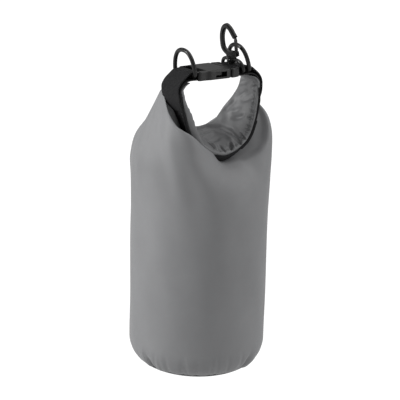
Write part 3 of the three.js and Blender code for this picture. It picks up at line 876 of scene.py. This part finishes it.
def build_base():
    """The round panel that the bag stands on, dished up to meet the wall at the base seam."""
    seam_angle = math.acos((EDGE_RADIUS - BASE_SEAM_Z) / EDGE_RADIUS)
    radii = [(r, 0.0) for r in np.linspace(6, FLOOR_RADIUS, 9)]
    for a in np.linspace(0, seam_angle, 8)[1:]:
        radii.append((FLOOR_RADIUS + EDGE_RADIUS * math.sin(a), EDGE_RADIUS * (1 - math.cos(a))))
    at = np.linspace(0, 360, BASE_AROUND, endpoint=False)
    grid = np.array([polar(at, np.full(BASE_AROUND, r), z) for r, z in radii])
    points = grid.reshape(-1, 3)
    top = grid + np.array([0, 0, BASE_THICKNESS])
    top[-1, :, 2] -= 0.5
    n = points.shape[0]
    faces = [f[::-1] for f in grid_faces(len(radii), BASE_AROUND, close_columns=True)]
    faces += grid_faces(len(radii), BASE_AROUND, close_columns=True, start=n)
    last = (len(radii) - 1) * BASE_AROUND
    for j in range(BASE_AROUND):
        k = (j + 1) % BASE_AROUND
        faces.append((last + j, last + k, n + last + k, n + last + j))
    centre = 2 * n
    pts = np.vstack([points, top.reshape(-1, 3), [0, 0, 0], [0, 0, BASE_THICKNESS]])
    for j in range(BASE_AROUND):
        k = (j + 1) % BASE_AROUND
        faces.append((centre, k, j))
        faces.append((centre + 1, n + j, n + k))
    obj = mesh_object("base_panel", pts, faces, pts[:, :2] * MM)
    fix_normals(obj)
    obj.data.materials.append(shell_cloth)
    return obj


base = build_base()
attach(base, "bag")
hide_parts("bottom_panel")

# ---------------------------------------------------------------- hardware
ROUNDED_NODES = ["d_ring_left", "d_ring_right", "hook_base"]
PLASTIC_NODES = ROUNDED_NODES + ["hook_body", "hook_gate"]
BUCKLE_NODES = ["buckle_female", "buckle_male", "prong_front", "prong_back"]
for name in PLASTIC_NODES + BUCKLE_NODES + ["bottom_seam_tape", "back_seam_tape"]:
    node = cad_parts[name]
    look = buckle if name in BUCKLE_NODES else hardware if name in PLASTIC_NODES else tape_cloth
    for slot in node.material_slots:
        slot.link = "OBJECT"
        slot.material = look
    if name in BUCKLE_NODES + ROUNDED_NODES:
        weld = node.modifiers.new("joined", "WELD")
        weld.merge_threshold = WELD_DISTANCE
    if name in BUCKLE_NODES:
        bevel = node.modifiers.new("moulded_edge", "BEVEL")
        bevel.width = 0.45 * MM
        bevel.segments = 3
        bevel.limit_method = "ANGLE"
        bevel.angle_limit = math.radians(40)
    elif name in ROUNDED_NODES:
        rounded = node.modifiers.new("rounded", "SUBSURF")
        rounded.levels = rounded.render_levels = 1


# ---------------------------------------------------------------- stage, light, camera
FLOOR_HALF = 6.0
FLOOR_GLOW = 1.12
WORLD_STRENGTH = 0.36
LIGHT_TARGET = (0, 0, 0.15)


def build_floor():
    """A plain white floor that glows, so that no shadow shows on it."""
    data = bpy.data.meshes.new("floor")
    corners = [(x * FLOOR_HALF, y * FLOOR_HALF, 0) for x, y in ((-1, -1), (1, -1), (1, 1), (-1, 1))]
    data.from_pydata(corners, [], [(0, 1, 2, 3)])
    obj = bpy.data.objects.new("floor", data)
    bpy.context.scene.collection.objects.link(obj)
    material, _, _, shader = new_material("floor_white")
    shader.inputs["Base Color"].default_value = (0, 0, 0, 1)
    shader.inputs["Specular IOR Level"].default_value = 0
    shader.inputs["Emission Color"].default_value = (1, 1, 1, 1)
    shader.inputs["Emission Strength"].default_value = FLOOR_GLOW
    obj.data.materials.append(material)


def area_light(name, place, size, power):
    data = bpy.data.lights.new(name, "AREA")
    data.shape = "RECTANGLE"
    data.size, data.size_y = size
    data.energy = power
    obj = bpy.data.objects.new(name, data)
    obj.location = place
    direction = Vector(LIGHT_TARGET) - Vector(place)
    obj.rotation_euler = direction.to_track_quat("-Z", "Y").to_euler()
    bpy.context.scene.collection.objects.link(obj)


build_floor()
bpy.context.scene.view_settings.view_transform = "Standard"
world = bpy.data.worlds.new("studio")
bpy.context.scene.world = world
world.use_nodes = True
background = world.node_tree.nodes["Background"]
background.inputs["Color"].default_value = (1, 1, 1, 1)
background.inputs["Strength"].default_value = WORLD_STRENGTH
area_light("key_left", (-1.45, 0.62, 0.55), (0.4, 1.5), 45)
area_light("fill_right", (0.9, -1.2, 0.6), (0.5, 1.2), 8)
sun = bpy.data.lights.new("overhead", "SUN")
sun.energy = 2.7
sun.angle = math.radians(80)
overhead = bpy.data.objects.new("overhead", sun)
overhead.rotation_euler = (math.radians(10), math.radians(18), 0)
bpy.context.scene.collection.objects.link(overhead)

CAMERA_PLACE = (-0.7824, -1.0382, 0.526)
FORWARD = Vector((0.5788, 0.7681, -0.2740)).normalized()
ROLL = math.radians(1.62)
LEVEL = FORWARD.cross(Vector((0, 0, 1))).normalized()
UPRIGHT = LEVEL.cross(FORWARD).normalized()
RIGHT = math.cos(ROLL) * LEVEL + math.sin(ROLL) * UPRIGHT
UP = -math.sin(ROLL) * LEVEL + math.cos(ROLL) * UPRIGHT
lens = bpy.data.cameras.new("camera")
lens.lens = 133.74
lens.sensor_width = 36
lens.clip_start = 0.05
camera = bpy.data.objects.new("camera", lens)
rotation = Matrix((RIGHT, UP, -FORWARD)).transposed()
camera.matrix_world = Matrix.Translation(CAMERA_PLACE) @ rotation.to_4x4()
bpy.context.scene.collection.objects.link(camera)
bpy.context.scene.camera = camera
